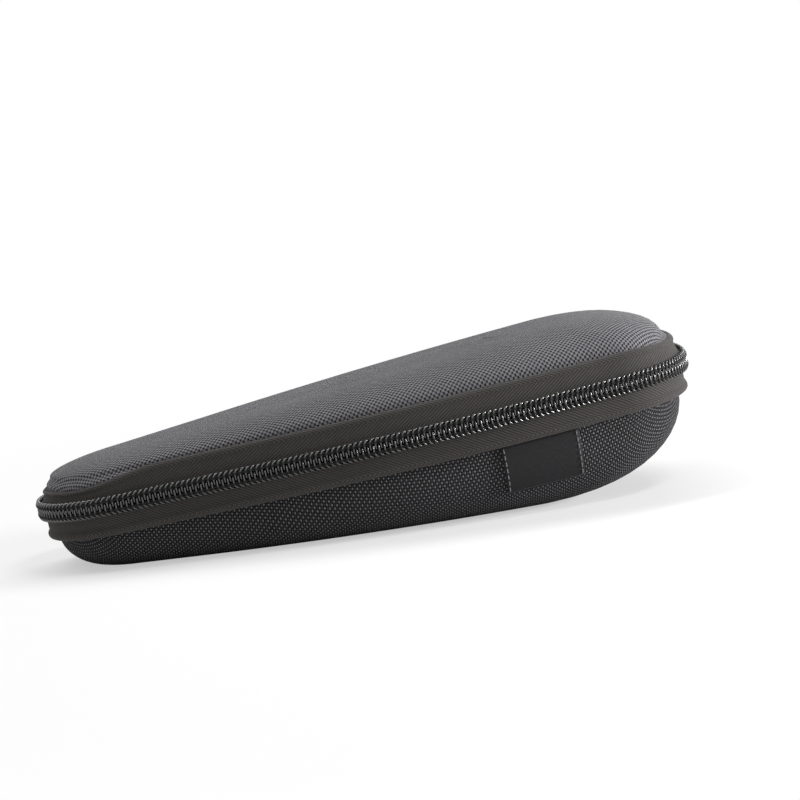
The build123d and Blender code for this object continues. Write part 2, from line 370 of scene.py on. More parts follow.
def object_weave(name, yarn, pitch, relief, fuzz):
    """Fine cloth on the case's own solids, laid by the case's own axes."""
    finish = Finish(name)
    x, y, z = finish.axes(finish.case_place(), "XYZ")
    loops = (x * (TURN / pitch)).sine() * ((y + z * 0.8) * (TURN / pitch)).sine() * 0.5 + 0.5
    nap = finish.noise(fuzz, 4.0, 0.65)
    height = loops * 0.6 + nap * 0.4
    patches = finish.noise(45.0, 2.0)
    colours = finish.blend((height * 0.7 + patches * 0.4).clamped(), tinted(yarn, 0.45), tinted(yarn, 1.4))
    return finish.surface(
        Base_Color=colours,
        Roughness=0.9,
        Specular_IOR_Level=0.12,
        Sheen_Weight=0.1,
        Sheen_Roughness=0.5,
        Normal=finish.bump(height, relief, 0.7),
    )


def brushed_knit(name, yarn, course):
    """Short napped knit with fine ribs along the case and slightly rubbed patches."""
    finish = Finish(name)
    (y,) = finish.axes(finish.case_place(), "Y")
    wander = finish.noise(60.0, 2.0)
    ribs = ((y + wander * course) * (TURN / course)).sine() * 0.5 + 0.5
    nap = finish.noise(2600.0, 5.0, 0.75)
    tufts = finish.noise(520.0, 3.0, 0.6)
    rubbed = finish.noise(38.0, 3.0, 0.6)
    height = nap * 0.5 + tufts * 0.35 + ribs * 0.15
    shade = (nap * 0.55 + tufts * 0.5 + ribs * 0.12 + rubbed * 0.5 - 0.35).clamped()
    return finish.surface(
        Base_Color=finish.blend(shade, tinted(yarn, 0.35), tinted(yarn, 1.7)),
        Roughness=0.95,
        Specular_IOR_Level=0.08,
        Sheen_Weight=0.12,
        Sheen_Roughness=0.45,
        Normal=finish.bump(height, 0.25 * MM, 0.8),
    )


def monofilament(name, base):
    """Glossy drawn nylon with faint flow marks."""
    finish = Finish(name)
    marks = finish.noise(700.0, 3.0)
    colours = finish.blend(marks, tinted(base, 0.7), tinted(base, 1.4))
    return finish.surface(
        Base_Color=colours,
        Roughness=0.22 + marks * 0.1,
        Specular_IOR_Level=1.0,
        Coat_Weight=0.4,
        Coat_Roughness=0.2,
        Normal=finish.bump(marks, 0.02 * MM, 0.4),
    )


def spun_thread(name, base):
    """Twisted sewing thread."""
    finish = Finish(name)
    along, across = finish.cloth_place()
    twist_pitch = 0.5 * MM
    twist = (along * (TURN / twist_pitch) + across * TURN).sine() * 0.5 + 0.5
    fibres = finish.noise(1800.0, 2.0)
    colours = finish.blend((twist * 0.6 + fibres * 0.4).clamped(), tinted(base, 0.5), tinted(base, 1.5))
    return finish.surface(
        Base_Color=colours,
        Roughness=0.75,
        Specular_IOR_Level=0.15,
        Sheen_Weight=0.05,
        Normal=finish.bump(twist, 0.05 * MM, 0.8),
    )


def lacquered_metal(name, base):
    """Lacquered zinc casting with a fine orange peel and worn high spots."""
    finish = Finish(name)
    peel = finish.noise(450.0, 2.0)
    edges = finish.node("ShaderNodeNewGeometry", {}, {}, "Pointiness")
    worn = ((edges - 0.53) * 14.0 + finish.noise(300.0, 3.0) * 0.5 - 0.3).clamped()
    bare_metal = (0.09, 0.088, 0.085)
    colours = finish.blend(worn, base, bare_metal)
    return finish.surface(
        Base_Color=colours,
        Roughness=0.32 + peel * 0.15,
        Specular_IOR_Level=0.35,
        Coat_Weight=0.15,
        Coat_Roughness=0.2,
        Normal=finish.bump(peel, 0.03 * MM, 0.35),
    )


def ribbed_satin(name, base):
    """Woven label: fine ribs across, a soft sheen and a paler selvedge line at its lower hem."""
    finish = Finish(name)
    _, across = finish.cloth_place()
    rib_pitch = 0.42 * MM
    hem_line = 0.35 * MM
    hem_width = 0.22 * MM
    rib = (across * (TURN / rib_pitch)).sine() * 0.5 + 0.5
    grain = finish.noise(1500.0, 2.0)
    hem = 1.0 - (abs(across - hem_line) / hem_width).clamped()
    shade = (rib * 0.45 + grain * 0.35 + hem * 1.3).clamped()
    colours = finish.blend(shade, tinted(base, 0.7), tinted(base, 3.0))
    return finish.surface(
        Base_Color=colours,
        Roughness=0.7 - rib * 0.1,
        Specular_IOR_Level=0.06,
        Normal=finish.bump(rib, 0.06 * MM, 0.6),
    )


# The case's plan outline and the frame of its seam


class Outline:
    """Plan outline of the zip's centre line, from the nose past the hinge side to the wide tip and back."""

    def __init__(self, inset=0.0, pull=0.0):
        size = sizes()
        side = size.side_angle
        straight = size.straight_length - pull
        start = self.turned(math.pi / 2 + side) * size.nose_radius + self.turned(side) * straight
        side_centre = start - self.turned(math.pi / 2 + side) * size.side_radius
        reach = size.side_radius - size.corner_radius
        corner = side_centre + self.turned(math.pi / 2 - size.side_end_angle) * reach
        end = math.acos(corner[1] / (size.end_radius - size.corner_radius))
        turns = (
            math.pi / 2 - side,
            0.0,
            side + size.side_end_angle,
            end - size.side_end_angle,
            math.pi / 2 - end,
        )
        radii = (size.nose_radius, 0.0, size.side_radius, size.corner_radius, size.end_radius)
        point = np.array([inset - size.nose_radius, 0.0])
        heading = math.pi / 2
        self.spans = []
        for turn, radius in zip(turns, radii):
            reach = (radius - inset) * turn if turn else straight
            self.spans.append((point, heading, radius - inset if turn else 0.0, reach))
            if turn:
                centre = point - self.outward(heading) * (radius - inset)
                heading -= turn
                point = centre + self.outward(heading) * (radius - inset)
            else:
                point = point + self.turned(heading) * reach
        self.tip = point
        self.half = sum(span[3] for span in self.spans)

    @staticmethod
    def turned(heading):
        return np.array([np.cos(heading), np.sin(heading)]).T

    @staticmethod
    def outward(heading):
        return np.array([-np.sin(heading), np.cos(heading)]).T

    def on_span(self, span, run):
        """Points and outward directions at distances along one span."""
        point, heading, radius, _ = span
        if not radius:
            headings = np.full(len(run), heading)
            return point + np.outer(run, self.turned(heading)), self.outward(headings)
        headings = heading - run / radius
        centre = point - self.outward(heading) * radius
        return centre + self.outward(headings) * radius, self.outward(headings)

    def ring(self):
        """Closed ring of points with the same share of every span, whatever the inset."""
        points, normals = [], []
        for span, count in zip(self.spans, SPAN_POINTS):
            run = np.linspace(0, span[3], count, endpoint=False)
            p, n = self.on_span(span, run)
            points.append(p)
            normals.append(n)
        points.append(self.tip[None])
        normals.append(np.array([[1.0, 0.0]]))
        points, normals = np.concatenate(points), np.concatenate(normals)
        flip = np.array([1.0, -1.0])
        points = np.concatenate([points, points[-2:0:-1] * flip])
        normals = np.concatenate([normals, normals[-2:0:-1] * flip])
        return points, normals

    def at(self, run):
        """Points and outward directions at distances round the whole outline."""
        run = np.mod(np.asarray(run, float), 2 * self.half)
        back = run > self.half
        run = np.where(back, 2 * self.half - run, run)
        points, normals = np.zeros((len(run), 2)), np.zeros((len(run), 2))
        begin = 0.0
        for number, span in enumerate(self.spans):
            last = number == len(self.spans) - 1
            mask = (run >= begin) & ((run < begin + span[3]) | last)
            points[mask], normals[mask] = self.on_span(span, run[mask] - begin)
            begin += span[3]
        points[back, 1] *= -1
        normals[back, 1] *= -1
        return points, normals

    def run_at(self, x, far=True):
        """Distance round the outline to a place x on its far side, or on its near side."""
        runs = np.linspace(0, self.half, LOOKUP_POINTS)
        points, _ = self.at(runs)
        run = float(np.interp(x, points[:, 0], runs))
        return run if far else 2 * self.half - run


def seam_axes():
    size = sizes()
    tilt = size.seam_tilt
    tip = Outline().tip[0]
    origin = np.array([-(tip - size.nose_radius) / 2 * math.cos(tilt), 0, size.base_depth])
    along = np.array([math.cos(tilt), 0, math.sin(tilt)])
    up = np.array([-math.sin(tilt), 0, math.cos(tilt)])
    return origin, along, up


def to_case(x, y, z):
    """Points of the seam's frame in the case's frame."""
    origin, along, up = seam_axes()
    side = np.array([0.0, 1.0, 0.0])
    return origin + np.outer(x, along) + np.outer(y, side) + np.outer(z, up)


# Mesh building


def piece(name, points, faces, material, body, cloth, replaced):
    """One object of the case, on its body, with its cloth coordinates."""
    mesh = bpy.data.meshes.new(name)
    mesh.from_pydata(np.asarray(points).tolist(), [], [tuple(int(i) for i in face) for face in faces])
    mesh.validate()
    layer = mesh.attributes.new(WEAVE, "FLOAT_VECTOR", "POINT")
    layer.data.foreach_set("vector", np.asarray(cloth, np.float32).ravel())
    return adopt(name, mesh, material, body, replaced)


def adopt(name, mesh, material, body, replaced):
    """Put a finished mesh into the scene as a piece of the case."""
    mesh.polygons.foreach_set("use_smooth", [True] * len(mesh.polygons))
    mesh.materials.append(material)
    made = bpy.data.objects.new(name, mesh)
    bpy.context.scene.collection.objects.link(made)
    if body:
        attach(made, body)
    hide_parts(*replaced)
    return made


def tidy_normals(mesh):
    work = bmesh.new()
    work.from_mesh(mesh)
    bmesh.ops.remove_doubles(work, verts=work.verts, dist=0.002 * MM)
    bmesh.ops.recalc_face_normals(work, faces=work.faces)
    work.to_mesh(mesh)
    work.free()


def grid_faces(rings, count, start=0, closed=True):
    """Quads between rings of equally many points."""
    faces = []
    last = count if closed else count - 1
    for ring in range(rings - 1):
        low = start + ring * count
        for index in range(last):
            after = (index + 1) % count
            faces.append((low + index, low + after, low + count + after, low + count + index))
    return faces


class Half:
    """Moulded form of one half of the case, as heights and insets over the seam."""

    def __init__(self, side):
        size = sizes()
        self.side = side
        self.name = "lid" if side > 0 else "base"
        self.wall = size.lid_wall if side > 0 else size.base_wall
        self.flange = size.lid_flange if side > 0 else size.base_flange
        self.top = size.lid_height if side > 0 else size.base_depth / math.cos(size.seam_tilt)
        self.slope = math.tan(size.lid_slope if side > 0 else size.seam_tilt)
        self.end_pull = size.lid_end_pull if side > 0 else size.base_end_pull
        self.crown = size.lid_crown if side > 0 else size.base_crown
        self.shoulder = size.wall_height

    def crown_ring(self, turn):
        """Ring of the crown at an angle from upright wall to flat top, with its outward directions."""
        drawn = 1 - math.cos(turn)
        raised = math.sin(turn)
        ring, normals = Outline(self.wall + self.crown * drawn, self.end_pull * drawn).ring()
        height = self.shoulder + raised * (self.top - self.shoulder)
        lean = math.atan(raised * self.slope)
        x = ring[:, 0] * math.cos(lean)
        z = height + ring[:, 0] * math.sin(lean)
        return x, ring[:, 1], self.side * z, normals

    def wall_ring(self, inset, height):
        """Ring of the upright flange; where the lid's tape comes down, its ledge turns into a slope."""
        ring, normals = Outline(inset).ring()
        heights = np.full(len(ring), height)
        if self.side > 0 and height > 5 * MM:
            ledge = (inset - self.flange) / (self.wall - self.flange)
            heights = heights - tape_drop(ring[:, 0]) * 0.42 * (1 - ledge)
        return ring[:, 0], ring[:, 1], self.side * heights, normals

    def surface_at(self, x, depth, proud):
        """Points of the near wall at places along the case and depths under the seam."""
        points = []
        for place, deep in zip(x, depth):
            top = self.top + place * self.slope
            raised = max(0.0, (deep - self.shoulder) / (top - self.shoulder))
            turn = math.asin(min(1.0, raised))
            drawn = 1 - math.cos(turn)
            inset = self.wall + self.crown * drawn - proud * math.cos(turn)
            outline = Outline(inset, self.end_pull * drawn)
            flat, _ = outline.at([outline.run_at(place, far=False)])
            points.append((flat[0, 0], flat[0, 1], self.side * (deep + proud * raised)))
        return np.array(points)


def cover(half, material):
    """Woven skin of one half: flange, wall, crown and top, with its yarns laid flat over the top."""
    rings = []
    edge = half.flange
    for inset, height in (
        (edge, 4.8 * MM),
        (edge, 6.4 * MM),
        (edge, 7.6 * MM),
        (edge + 0.12 * MM, 7.9 * MM),
        (edge + 0.4 * MM, 8.0 * MM),
        (half.wall - 0.4 * MM, 8.02 * MM),
        (half.wall - 0.1 * MM, 8.2 * MM),
    ):
        rings.append(half.wall_ring(inset, height))
    rings.extend(half.crown_ring(turn) for turn in np.linspace(0, math.pi / 2, CROWN_STEPS))
    count = len(rings[0][0])
    spare = [np.zeros(count)]
    for (x0, y0, z0, _), (x1, y1, z1, _) in zip(rings[::-1], rings[-2::-1]):
        flat = np.hypot(x1 - x0, y1 - y0)
        spare.append(spare[-1] + np.hypot(flat, z1 - z0) - flat)
    edge_x, edge_y, edge_z, normals = rings[-1]
    points, cloth = [], []
    for away, (x, y, z, _) in zip(spare[::-1], rings):
        points.append(to_case(x, y, z))
        drawn = away * 0.85
        cloth.append(np.stack([x + normals[:, 0] * drawn, y + normals[:, 1] * drawn, np.zeros(count)], 1))
    nose = sizes().nose_radius - half.wall - half.crown
    spine_x = np.clip(edge_x, edge_x.min() + nose, edge_x.max() - 14 * MM)
    rise, reach = edge_z.max() - edge_z.min(), edge_x.max() - edge_x.min()
    lift = (0.5 if half.side > 0 else 0.0) * MM
    lift_reach = 18 * MM
    for step in range(1, TOP_STEPS + 1):
        share = step / TOP_STEPS
        x = edge_x + (spine_x - edge_x) * share
        y = edge_y * (1 - share)
        z = edge_z + (x - edge_x) * rise / reach * half.side
        away = np.hypot(spine_x - edge_x, edge_y) * share
        z = z + half.side * lift * eased(away / lift_reach)
        points.append(to_case(x, y, z))
        cloth.append(np.stack([x, y, np.zeros(count)], 1))
    faces = grid_faces(len(points), count)
    made = piece(
        f"{half.name}_woven_cover",
        np.concatenate(points),
        faces,
        material,
        half.name,
        np.concatenate(cloth),
        replaced=(f"{half.name}_cover",),
    )
    tidy_normals(made.data)
    shell = made.modifiers.new("Skin", "SOLIDIFY")
    shell.thickness = 0.6 * MM
    shell.offset = -1.0
    return made


def eased(share):
    share = np.clip(share, 0, 1)
    return share * share * (3 - 2 * share)


def tape_drop(x):
    """How far the lid's tape comes down at places along the case."""
    size = sizes()
    nose = eased((12 * MM - x) / (30 * MM))
    tip = eased((x - 146 * MM) / (18 * MM))
    return nose * size.nose_tape + tip * size.tip_tape


def sweep(section, runs, side, cloth_start=0.0, drops=False):
    """Sweep a closed section of insets and heights along the outline at a row of distances."""
    outline = Outline()
    points2, normals = outline.at(runs)
    section = np.asarray(section)
    count = len(section)
    steps = np.linalg.norm(np.diff(section, axis=0, append=section[:1]), axis=1)
    across = np.concatenate([[0.0], np.cumsum(steps)[:-1]]) + cloth_start
    points, cloth = [], []
    height = section[:, 1]
    low, high = height.min(), height.max()
    for run, point, normal in zip(runs, points2, normals):
        x = point[0] - normal[0] * section[:, 0]
        y = point[1] - normal[1] * section[:, 0]
        if drops:
            height = low + (section[:, 1] - low) * (1 - tape_drop(point[0]) / (high - low))
        points.append(to_case(x, y, side * height))
        cloth.append(np.stack([np.full(count, run), across, np.zeros(count)], 1))
    faces = grid_faces(len(runs), count)
    faces.append(tuple(range(count - 1, -1, -1)))
    faces.append(tuple(range((len(runs) - 1) * count, len(runs) * count)))
    return np.concatenate(points), faces, np.concatenate(cloth)


def joined(parts):
    """Several swept bodies as one list of points, faces and cloth places."""
    points, faces, cloth = [], [], []
    start = 0
    for p, f, c in parts:
        points.append(p)
        cloth.append(c)
        faces.extend(tuple(index + start for index in face) for face in f)
        start += len(p)
    return np.concatenate(points), faces, np.concatenate(cloth)


def tape_section(half, low, high=None):
    """Section of a zip tape: a leaning band whose free edge rolls over the flange to the wall."""
    lean_low = (0.8 * MM, 1.2 * MM)
    lean_high = (half.flange - 0.8 * MM, 8.5 * MM)
    selvedge_inset = 0.5 * MM
    behind_flange = half.flange - 0.04 * MM

    def inset_at(height):
        share = (height - lean_low[1]) / (lean_high[1] - lean_low[1])
        return lean_low[0] + max(share, 0.0) * (lean_high[0] - lean_low[0])

    def outer_band(heights):
        """Outer side of the band; at the tape's own low edge its two lowest points are the selvedge."""
        if abs(low - lean_low[1]) > 0.1 * MM:
            return [(inset_at(h), h) for h in heights]
        foot = [(selvedge_inset, low), (selvedge_inset, low + 1.1 * MM)]
        foot.append((inset_at(low + 1.4 * MM), low + 1.4 * MM))
        return foot + [(inset_at(h), h) for h in heights[2:]]

    if high is not None:
        heights = np.linspace(low, high, 4)
        return outer_band(heights) + [(inset_at(h) + TAPE_THICKNESS, h) for h in heights[::-1]]
    heights = np.linspace(low, 6.3 * MM, BAND_POINTS)
    edge = half.flange - 0.9 * MM
    roll = [
        (edge - 0.34 * MM, 6.75 * MM),
        (edge - 0.55 * MM, 7.3 * MM),
        (edge - 0.5 * MM, 7.9 * MM),
        (edge - 0.15 * MM, 8.4 * MM),
        (edge + 0.4 * MM, 8.72 * MM),
        (edge + 1.0 * MM, 8.8 * MM),
        (half.wall - 0.5 * MM, 8.66 * MM),
        (half.wall - 0.12 * MM, 8.36 * MM),
        (half.wall - 0.25 * MM, 8.1 * MM),
        (half.flange + 0.1 * MM, 8.06 * MM),
        (behind_flange, 7.9 * MM),
        (behind_flange, 6.9 * MM),
    ]
    inner = [(min(inset_at(h) + TAPE_THICKNESS, behind_flange), h) for h in heights[::-1]]
    return outer_band(heights) + roll + inner


def spaced(start, end, step):
    return np.linspace(start, end, max(2, int(round((end - start) / step)) + 1))


def ring_places():
    """Distances round the outline of the hinge's and the joined stretches' ends."""
    size = sizes()
    outline = Outline()
    return {
        "whole": 2 * outline.half,
        "hinge_start": outline.run_at(size.hinge_start),
        "hinge_end": outline.run_at(size.hinge_end),
        "zip_start": outline.run_at(size.hinge_start - CUT_CLEARANCE),
        "zip_end": outline.run_at(size.hinge_end + CUT_CLEARANCE),
        "joined_start": outline.run_at(size.joined_start),
        "joined_end": outline.run_at(size.joined_end),
        "slot_start": outline.run_at(size.slot_start),
    }


class CASE_OT_covers(bpy.types.Operator):
    """Make the woven covers of lid and base"""

    bl_idname = "case.covers"
    bl_label = "Woven Covers"

    def execute(self, context):
        paint = finishes()
        # The lid takes the lit copy of the nylon and the base the shaded copy; both are one fabric, so the
        # difference between them is painted light
        cover(Half(1), nylon("woven_nylon_lid", paint.lid_yarn, 0.04, lit_copy=True))
        cover(Half(-1), nylon("woven_nylon_base", paint.base_yarn, 0.02, lit_copy=False))
        return {"FINISHED"}


class CASE_OT_tapes(bpy.types.Operator):
    """Make the zip's two tapes with their rolled edges, and the tape of the joined stretches"""

    bl_idname = "case.tapes"
    bl_label = "Zip Tapes"

    def execute(self, context):
        cloth = herringbone("zip_tape", finishes().tape)
        at = ring_places()
        low = sizes().tape_low
        base, lid = Half(-1), Half(1)
        wraps = at["whole"] + at["zip_start"]
        joined_start = at["whole"] + at["joined_start"]
        parting = (at["joined_end"] + CUT_CLEARANCE, joined_start - CUT_CLEARANCE)

        def strip(half, start, end, edge, high=None, drops=False):
            runs = spaced(start, end, 1.1 * MM)
            return sweep(tape_section(half, edge, high), runs, half.side, edge, drops)

        base_parts = [strip(base, at["zip_end"], wraps, low)]
        lid_parts = [
            strip(lid, *parting, low, drops=True),
            strip(lid, at["zip_end"], parting[0], LID_TAPE_ABOVE),
            strip(lid, parting[1], wraps, LID_TAPE_ABOVE),
        ]
        end_parts = [
            strip(lid, at["zip_end"], at["joined_end"], low, JOINED_TOP),
            strip(lid, joined_start, wraps, low, JOINED_TOP),
        ]
        for name, parts, body, node in (
            ("base_tape_cloth", base_parts, "base", "base_zipper_tape"),
            ("lid_tape_cloth", lid_parts, "lid", "lid_zipper_tape"),
            ("joined_tape_cloth", end_parts, "base", "joined_tape_ends"),
        ):
            points, faces, places = joined(parts)
            made = piece(name, points, faces, cloth, body, places, replaced=(node,))
            tidy_normals(made.data)
        return {"FINISHED"}


def loop_path():
    """One loop of the coil: share of the pitch, distance outwards and height over the seam."""
    return np.array(
        [
            (0.00, 0.88, 1.70),
            (0.04, 0.89, 1.10),
            (0.04, 0.89, 0.40),
            (0.04, 0.86, -0.14),
            (0.04, 0.68, -0.48),
            (0.04, 0.28, -0.62),
            (0.04, -0.10, -0.46),
            (0.04, -0.28, 0.00),
            (0.04, -0.30, 1.00),
            (0.04, -0.26, 1.90),
            (0.10, -0.04, 2.32),
            (0.22, 0.28, 2.50),
            (0.42, 0.55, 2.50),
            (0.64, 0.73, 2.34),
            (0.86, 0.84, 2.04),
        ]
    )


def tube(path, reach, radii, sides):
    """Tube round a path, with its sections set square to it; reach is a direction it never follows."""
    tangent = np.gradient(path, axis=0)
    tangent /= np.linalg.norm(tangent, axis=1)[:, None]
    first = reach - tangent * np.sum(reach * tangent, axis=1)[:, None]
    first /= np.linalg.norm(first, axis=1)[:, None]
    second = np.cross(tangent, first)
    turns = np.arange(sides) * TURN / sides
    ring = np.cos(turns)[None, :, None] * first[:, None] + np.sin(turns)[None, :, None] * second[:, None]
    points = (path[:, None] + ring * radii[:, None, None]).reshape(-1, 3)
    faces = grid_faces(len(path), sides)
    faces.append(tuple(range(sides - 1, -1, -1)))
    faces.append(tuple(range((len(path) - 1) * sides, len(path) * sides)))
    return points, faces


def coil_row(teeth, side):
    """Loops of one row at given distances round the outline; they stand back over the slider's way."""
    shape = loop_path()
    outline = Outline()
    at = ring_places()
    pitch = sizes().tooth_pitch
    ramp = 2.0 * MM
    sides = 7
    parted = np.clip((teeth - at["whole"] - at["slot_start"] + ramp) / ramp, 0, 1)
    runs = (teeth[:, None] + shape[None, :, 0] * pitch).ravel()
    out = np.tile(shape[:, 1], len(teeth)) * MM
    height = np.tile(shape[:, 2], len(teeth)) * MM
    if side > 0:
        head = (shape[:, 1] > 0.2) & (shape[:, 2] < 0.6)
        out = out - np.tile(np.where(head, 0.18 * MM, 0.0), len(teeth))
    back = np.repeat(parted, len(shape))
    outer = 2.5 * MM
    height = outer - (outer - height) * (1 - 0.39 * back)
    flat, normals = outline.at(runs)
    path = to_case(flat[:, 0] + normals[:, 0] * out, flat[:, 1] + normals[:, 1] * out, side * height)
    ahead = to_case(flat[:, 0] + normals[:, 1] * MM, flat[:, 1] - normals[:, 0] * MM, side * height)
    here = to_case(flat[:, 0], flat[:, 1], side * height)
    reach = ahead - here
    reach /= np.linalg.norm(reach, axis=1)[:, None]
    radii = np.full(len(path), sizes().strand_radius)
    swollen = np.isin(np.arange(len(shape)), (4, 5, 6))
    radii[np.tile(swollen, len(teeth))] *= 1.12
    points, faces = tube(path, reach, radii, sides)
    cloth = np.repeat(np.stack([runs, out, height], 1), sides, axis=0)
    return points, faces, cloth


def row_teeth(side):
    """Distances round the outline of one row's loops, half a pitch apart between the rows."""
    at = ring_places()
    pitch = sizes().tooth_pitch
    margin = 2.2 * MM
    start = at["zip_end"] + margin
    end = at["whole"] + at["zip_start"] - margin
    count = int((end - start) / pitch)
    return start + (np.arange(count) + (0.5 if side > 0 else 0.0)) * pitch


class CASE_OT_coil(bpy.types.Operator):
    """Make the zip's two rows of monofilament loops and their sewing threads"""

    bl_idname = "case.coil"
    bl_label = "Coil"

    def execute(self, context):
        strand = monofilament("zip_coil", finishes().coil)
        cotton = spun_thread("sewing_thread", finishes().thread)
        at = ring_places()
        low = at["joined_end"] + 0.5 * MM
        high = at["whole"] + at["joined_start"] - 0.5 * MM
        base_row, lid_row = row_teeth(-1), row_teeth(1)
        base_opening, lid_opening = (row[(row > low) & (row < high)] for row in (base_row, lid_row))
        self.loops("base_coil_loops", [base_row], -1, strand, "base", "base_coil")
        self.threads(base_opening, -1, "base", cotton)
        self.loops("lid_coil_loops", [lid_opening], 1, strand, "lid", "lid_coil")
        ends = [lid_row[lid_row <= low], lid_row[lid_row >= high]]
        self.loops("joined_coil_loops", ends, 1, strand, "base", "joined_coil_ends")
        self.threads(lid_opening, 1, "lid", cotton)
        return {"FINISHED"}

    def loops(self, name, rows, side, material, body, node):
        points, faces, cloth = joined([coil_row(teeth, side) for teeth in rows])
        piece(name, points, faces, material, body, cloth, replaced=(node,))

    def threads(self, teeth, side, name, material):
        """Two strands of chain stitch that dip between the loops."""
        outline = Outline()
        pitch = sizes().tooth_pitch
        thread_radius = 0.18 * MM
        sides = 5
        runs = spaced(teeth[0] - pitch * 0.4, teeth[-1] + pitch * 0.4, pitch / 5)
        phase = (runs - teeth[0]) / pitch * TURN
        flat, normals = outline.at(runs)
        _, _, up = seam_axes()
        parts = []
        for height, shift in ((1.2 * MM, 0.0), (1.6 * MM, math.pi)):
            out = (0.88 + 0.27 * np.cos(phase)) * MM
            z = height + 0.07 * MM * np.sin(phase / 2 + shift)
            path = to_case(flat[:, 0] + normals[:, 0] * out, flat[:, 1] + normals[:, 1] * out, side * z)
            reach = np.tile(up, (len(path), 1))
            points, faces = tube(path, reach, np.full(len(path), thread_radius), sides)
            turns = np.tile(np.arange(sides) / sides, len(path))
            parts.append((points, faces, np.stack([np.repeat(runs, sides), turns, turns * 0], 1)))
        points, faces, cloth = joined(parts)
        piece(
            f"{name}_chain_stitch", points, faces, material, name, cloth,
            replaced=(f"{name}_coil_thread",),
        )


class CASE_OT_hinge(bpy.types.Operator):
    """Make the webbing hinge between base and lid"""

    bl_idname = "case.hinge"
    bl_label = "Hinge Webbing"

    def execute(self, context):
        at = ring_places()
        base, lid = Half(-1), Half(1)
        low, outer = 0.6 * MM, BAND_POINTS + ROLL_POINTS
        upper = tape_section(lid, low)
        lower = [(i, -z) for i, z in tape_section(base, low)]
        bulge = 0.1 * MM
        inner = 0.8 * MM
        band_top = 6.4 * MM
        outer_up = [(bulge + (i - inner) if z < band_top else i, z) for i, z in upper[:outer]]
        outer_low = [(bulge if z > -band_top else i, z) for i, z in lower[:outer]]
        section = outer_low[::-1] + [(bulge, 0.0)] + outer_up
        section += upper[outer:] + [(inner, 0.0)] + lower[outer:][::-1]
        points, faces, cloth = sweep(section, spaced(at["hinge_start"], at["hinge_end"], 1.0 * MM), 1)
        made = piece(
            "hinge_webbing", points, faces, ribbed_webbing("hinge_fabric", finishes().webbing), None,
            cloth, replaced=("base_hinge_strip", "lid_hinge_strip"),
        )
        tidy_normals(made.data)
        middle, _ = Outline().at([(at["hinge_start"] + at["hinge_end"]) / 2])
        spot = to_case(np.repeat(middle[:, 0], 2), np.repeat(middle[:, 1], 2), np.array([-0.9, 0.9]) * MM)
        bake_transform(made)
        return {"FINISHED"}


# Slider, pull and stops


class SliderFrame:
    """Frame of the slider: u along the zip, n outwards, z up across the zip."""

    def __init__(self):
        outline = Outline()
        flat, _ = outline.at([outline.run_at(sizes().slider_place)])
        self.origin = flat[0]
        side = sizes().side_angle
        self.along = Outline.turned(side)
        self.out = Outline.outward(side)

    def points(self, local):
        local = np.asarray(local, float)
        flat = self.origin + np.outer(local[:, 0], self.along) + np.outer(local[:, 1], self.out)
        return to_case(flat[:, 0], flat[:, 1], local[:, 2])

    def place(self, mesh):
        """Move a mesh made in u, n, z millimetres into the case's frame."""
        local = np.array([vertex.co for vertex in mesh.vertices]) * MM
        mesh.vertices.foreach_set("co", self.points(local).astype(np.float32).ravel())
        mesh.update()


def rounded(points, radius, steps=5):
    """Closed polygon with its corners rounded."""
    points = np.asarray(points, float)
    done = []
    for before, here, after in zip(np.roll(points, 1, 0), points, np.roll(points, -1, 0)):
        back, ahead = before - here, after - here
        cut = min(radius, np.linalg.norm(back) * 0.49, np.linalg.norm(ahead) * 0.49)
        a = here + back / np.linalg.norm(back) * cut
        b = here + ahead / np.linalg.norm(ahead) * cut
        for share in np.linspace(0, 1, steps):
            done.append((1 - share) ** 2 * a + 2 * share * (1 - share) * here + share**2 * b)
    return np.array(done)


def slab(outline, low, high, axes, bevel):
    """Bevelled slab over a polygon, as a bmesh; axes say which of u, n, z the polygon and its height use."""
    work = bmesh.new()
    first, second, third = axes
    verts = []
    for a, b in outline:
        place = [0.0, 0.0, 0.0]
        place[first], place[second], place[third] = a, b, low
        verts.append(work.verts.new(place))
    face = work.faces.new(verts)
    moved = bmesh.ops.extrude_face_region(work, geom=[face])
    shift = [0.0, 0.0, 0.0]
    shift[third] = high - low
    raised = [made for made in moved["geom"] if isinstance(made, bmesh.types.BMVert)]
    bmesh.ops.translate(work, verts=raised, vec=shift)
    bmesh.ops.recalc_face_normals(work, faces=work.faces)
    rims = [edge for edge in work.edges if len(edge.link_faces) == 2 and edge.calc_face_angle() > 0.9]
    bmesh.ops.bevel(work, geom=rims, offset=bevel, segments=2, affect="EDGES", profile=0.5)
    return work


def merged(works):
    mesh = bpy.data.meshes.new("part")
    whole = bmesh.new()
    for work in works:
        part = bpy.data.meshes.new("part")
        work.to_mesh(part)
        work.free()
        whole.from_mesh(part)
        bpy.data.meshes.remove(part)
    whole.to_mesh(mesh)
    whole.free()
    return mesh


def box_outline(u0, v0, u1, v1):
    return [(u0, v0), (u1, v0), (u1, v1), (u0, v1)]


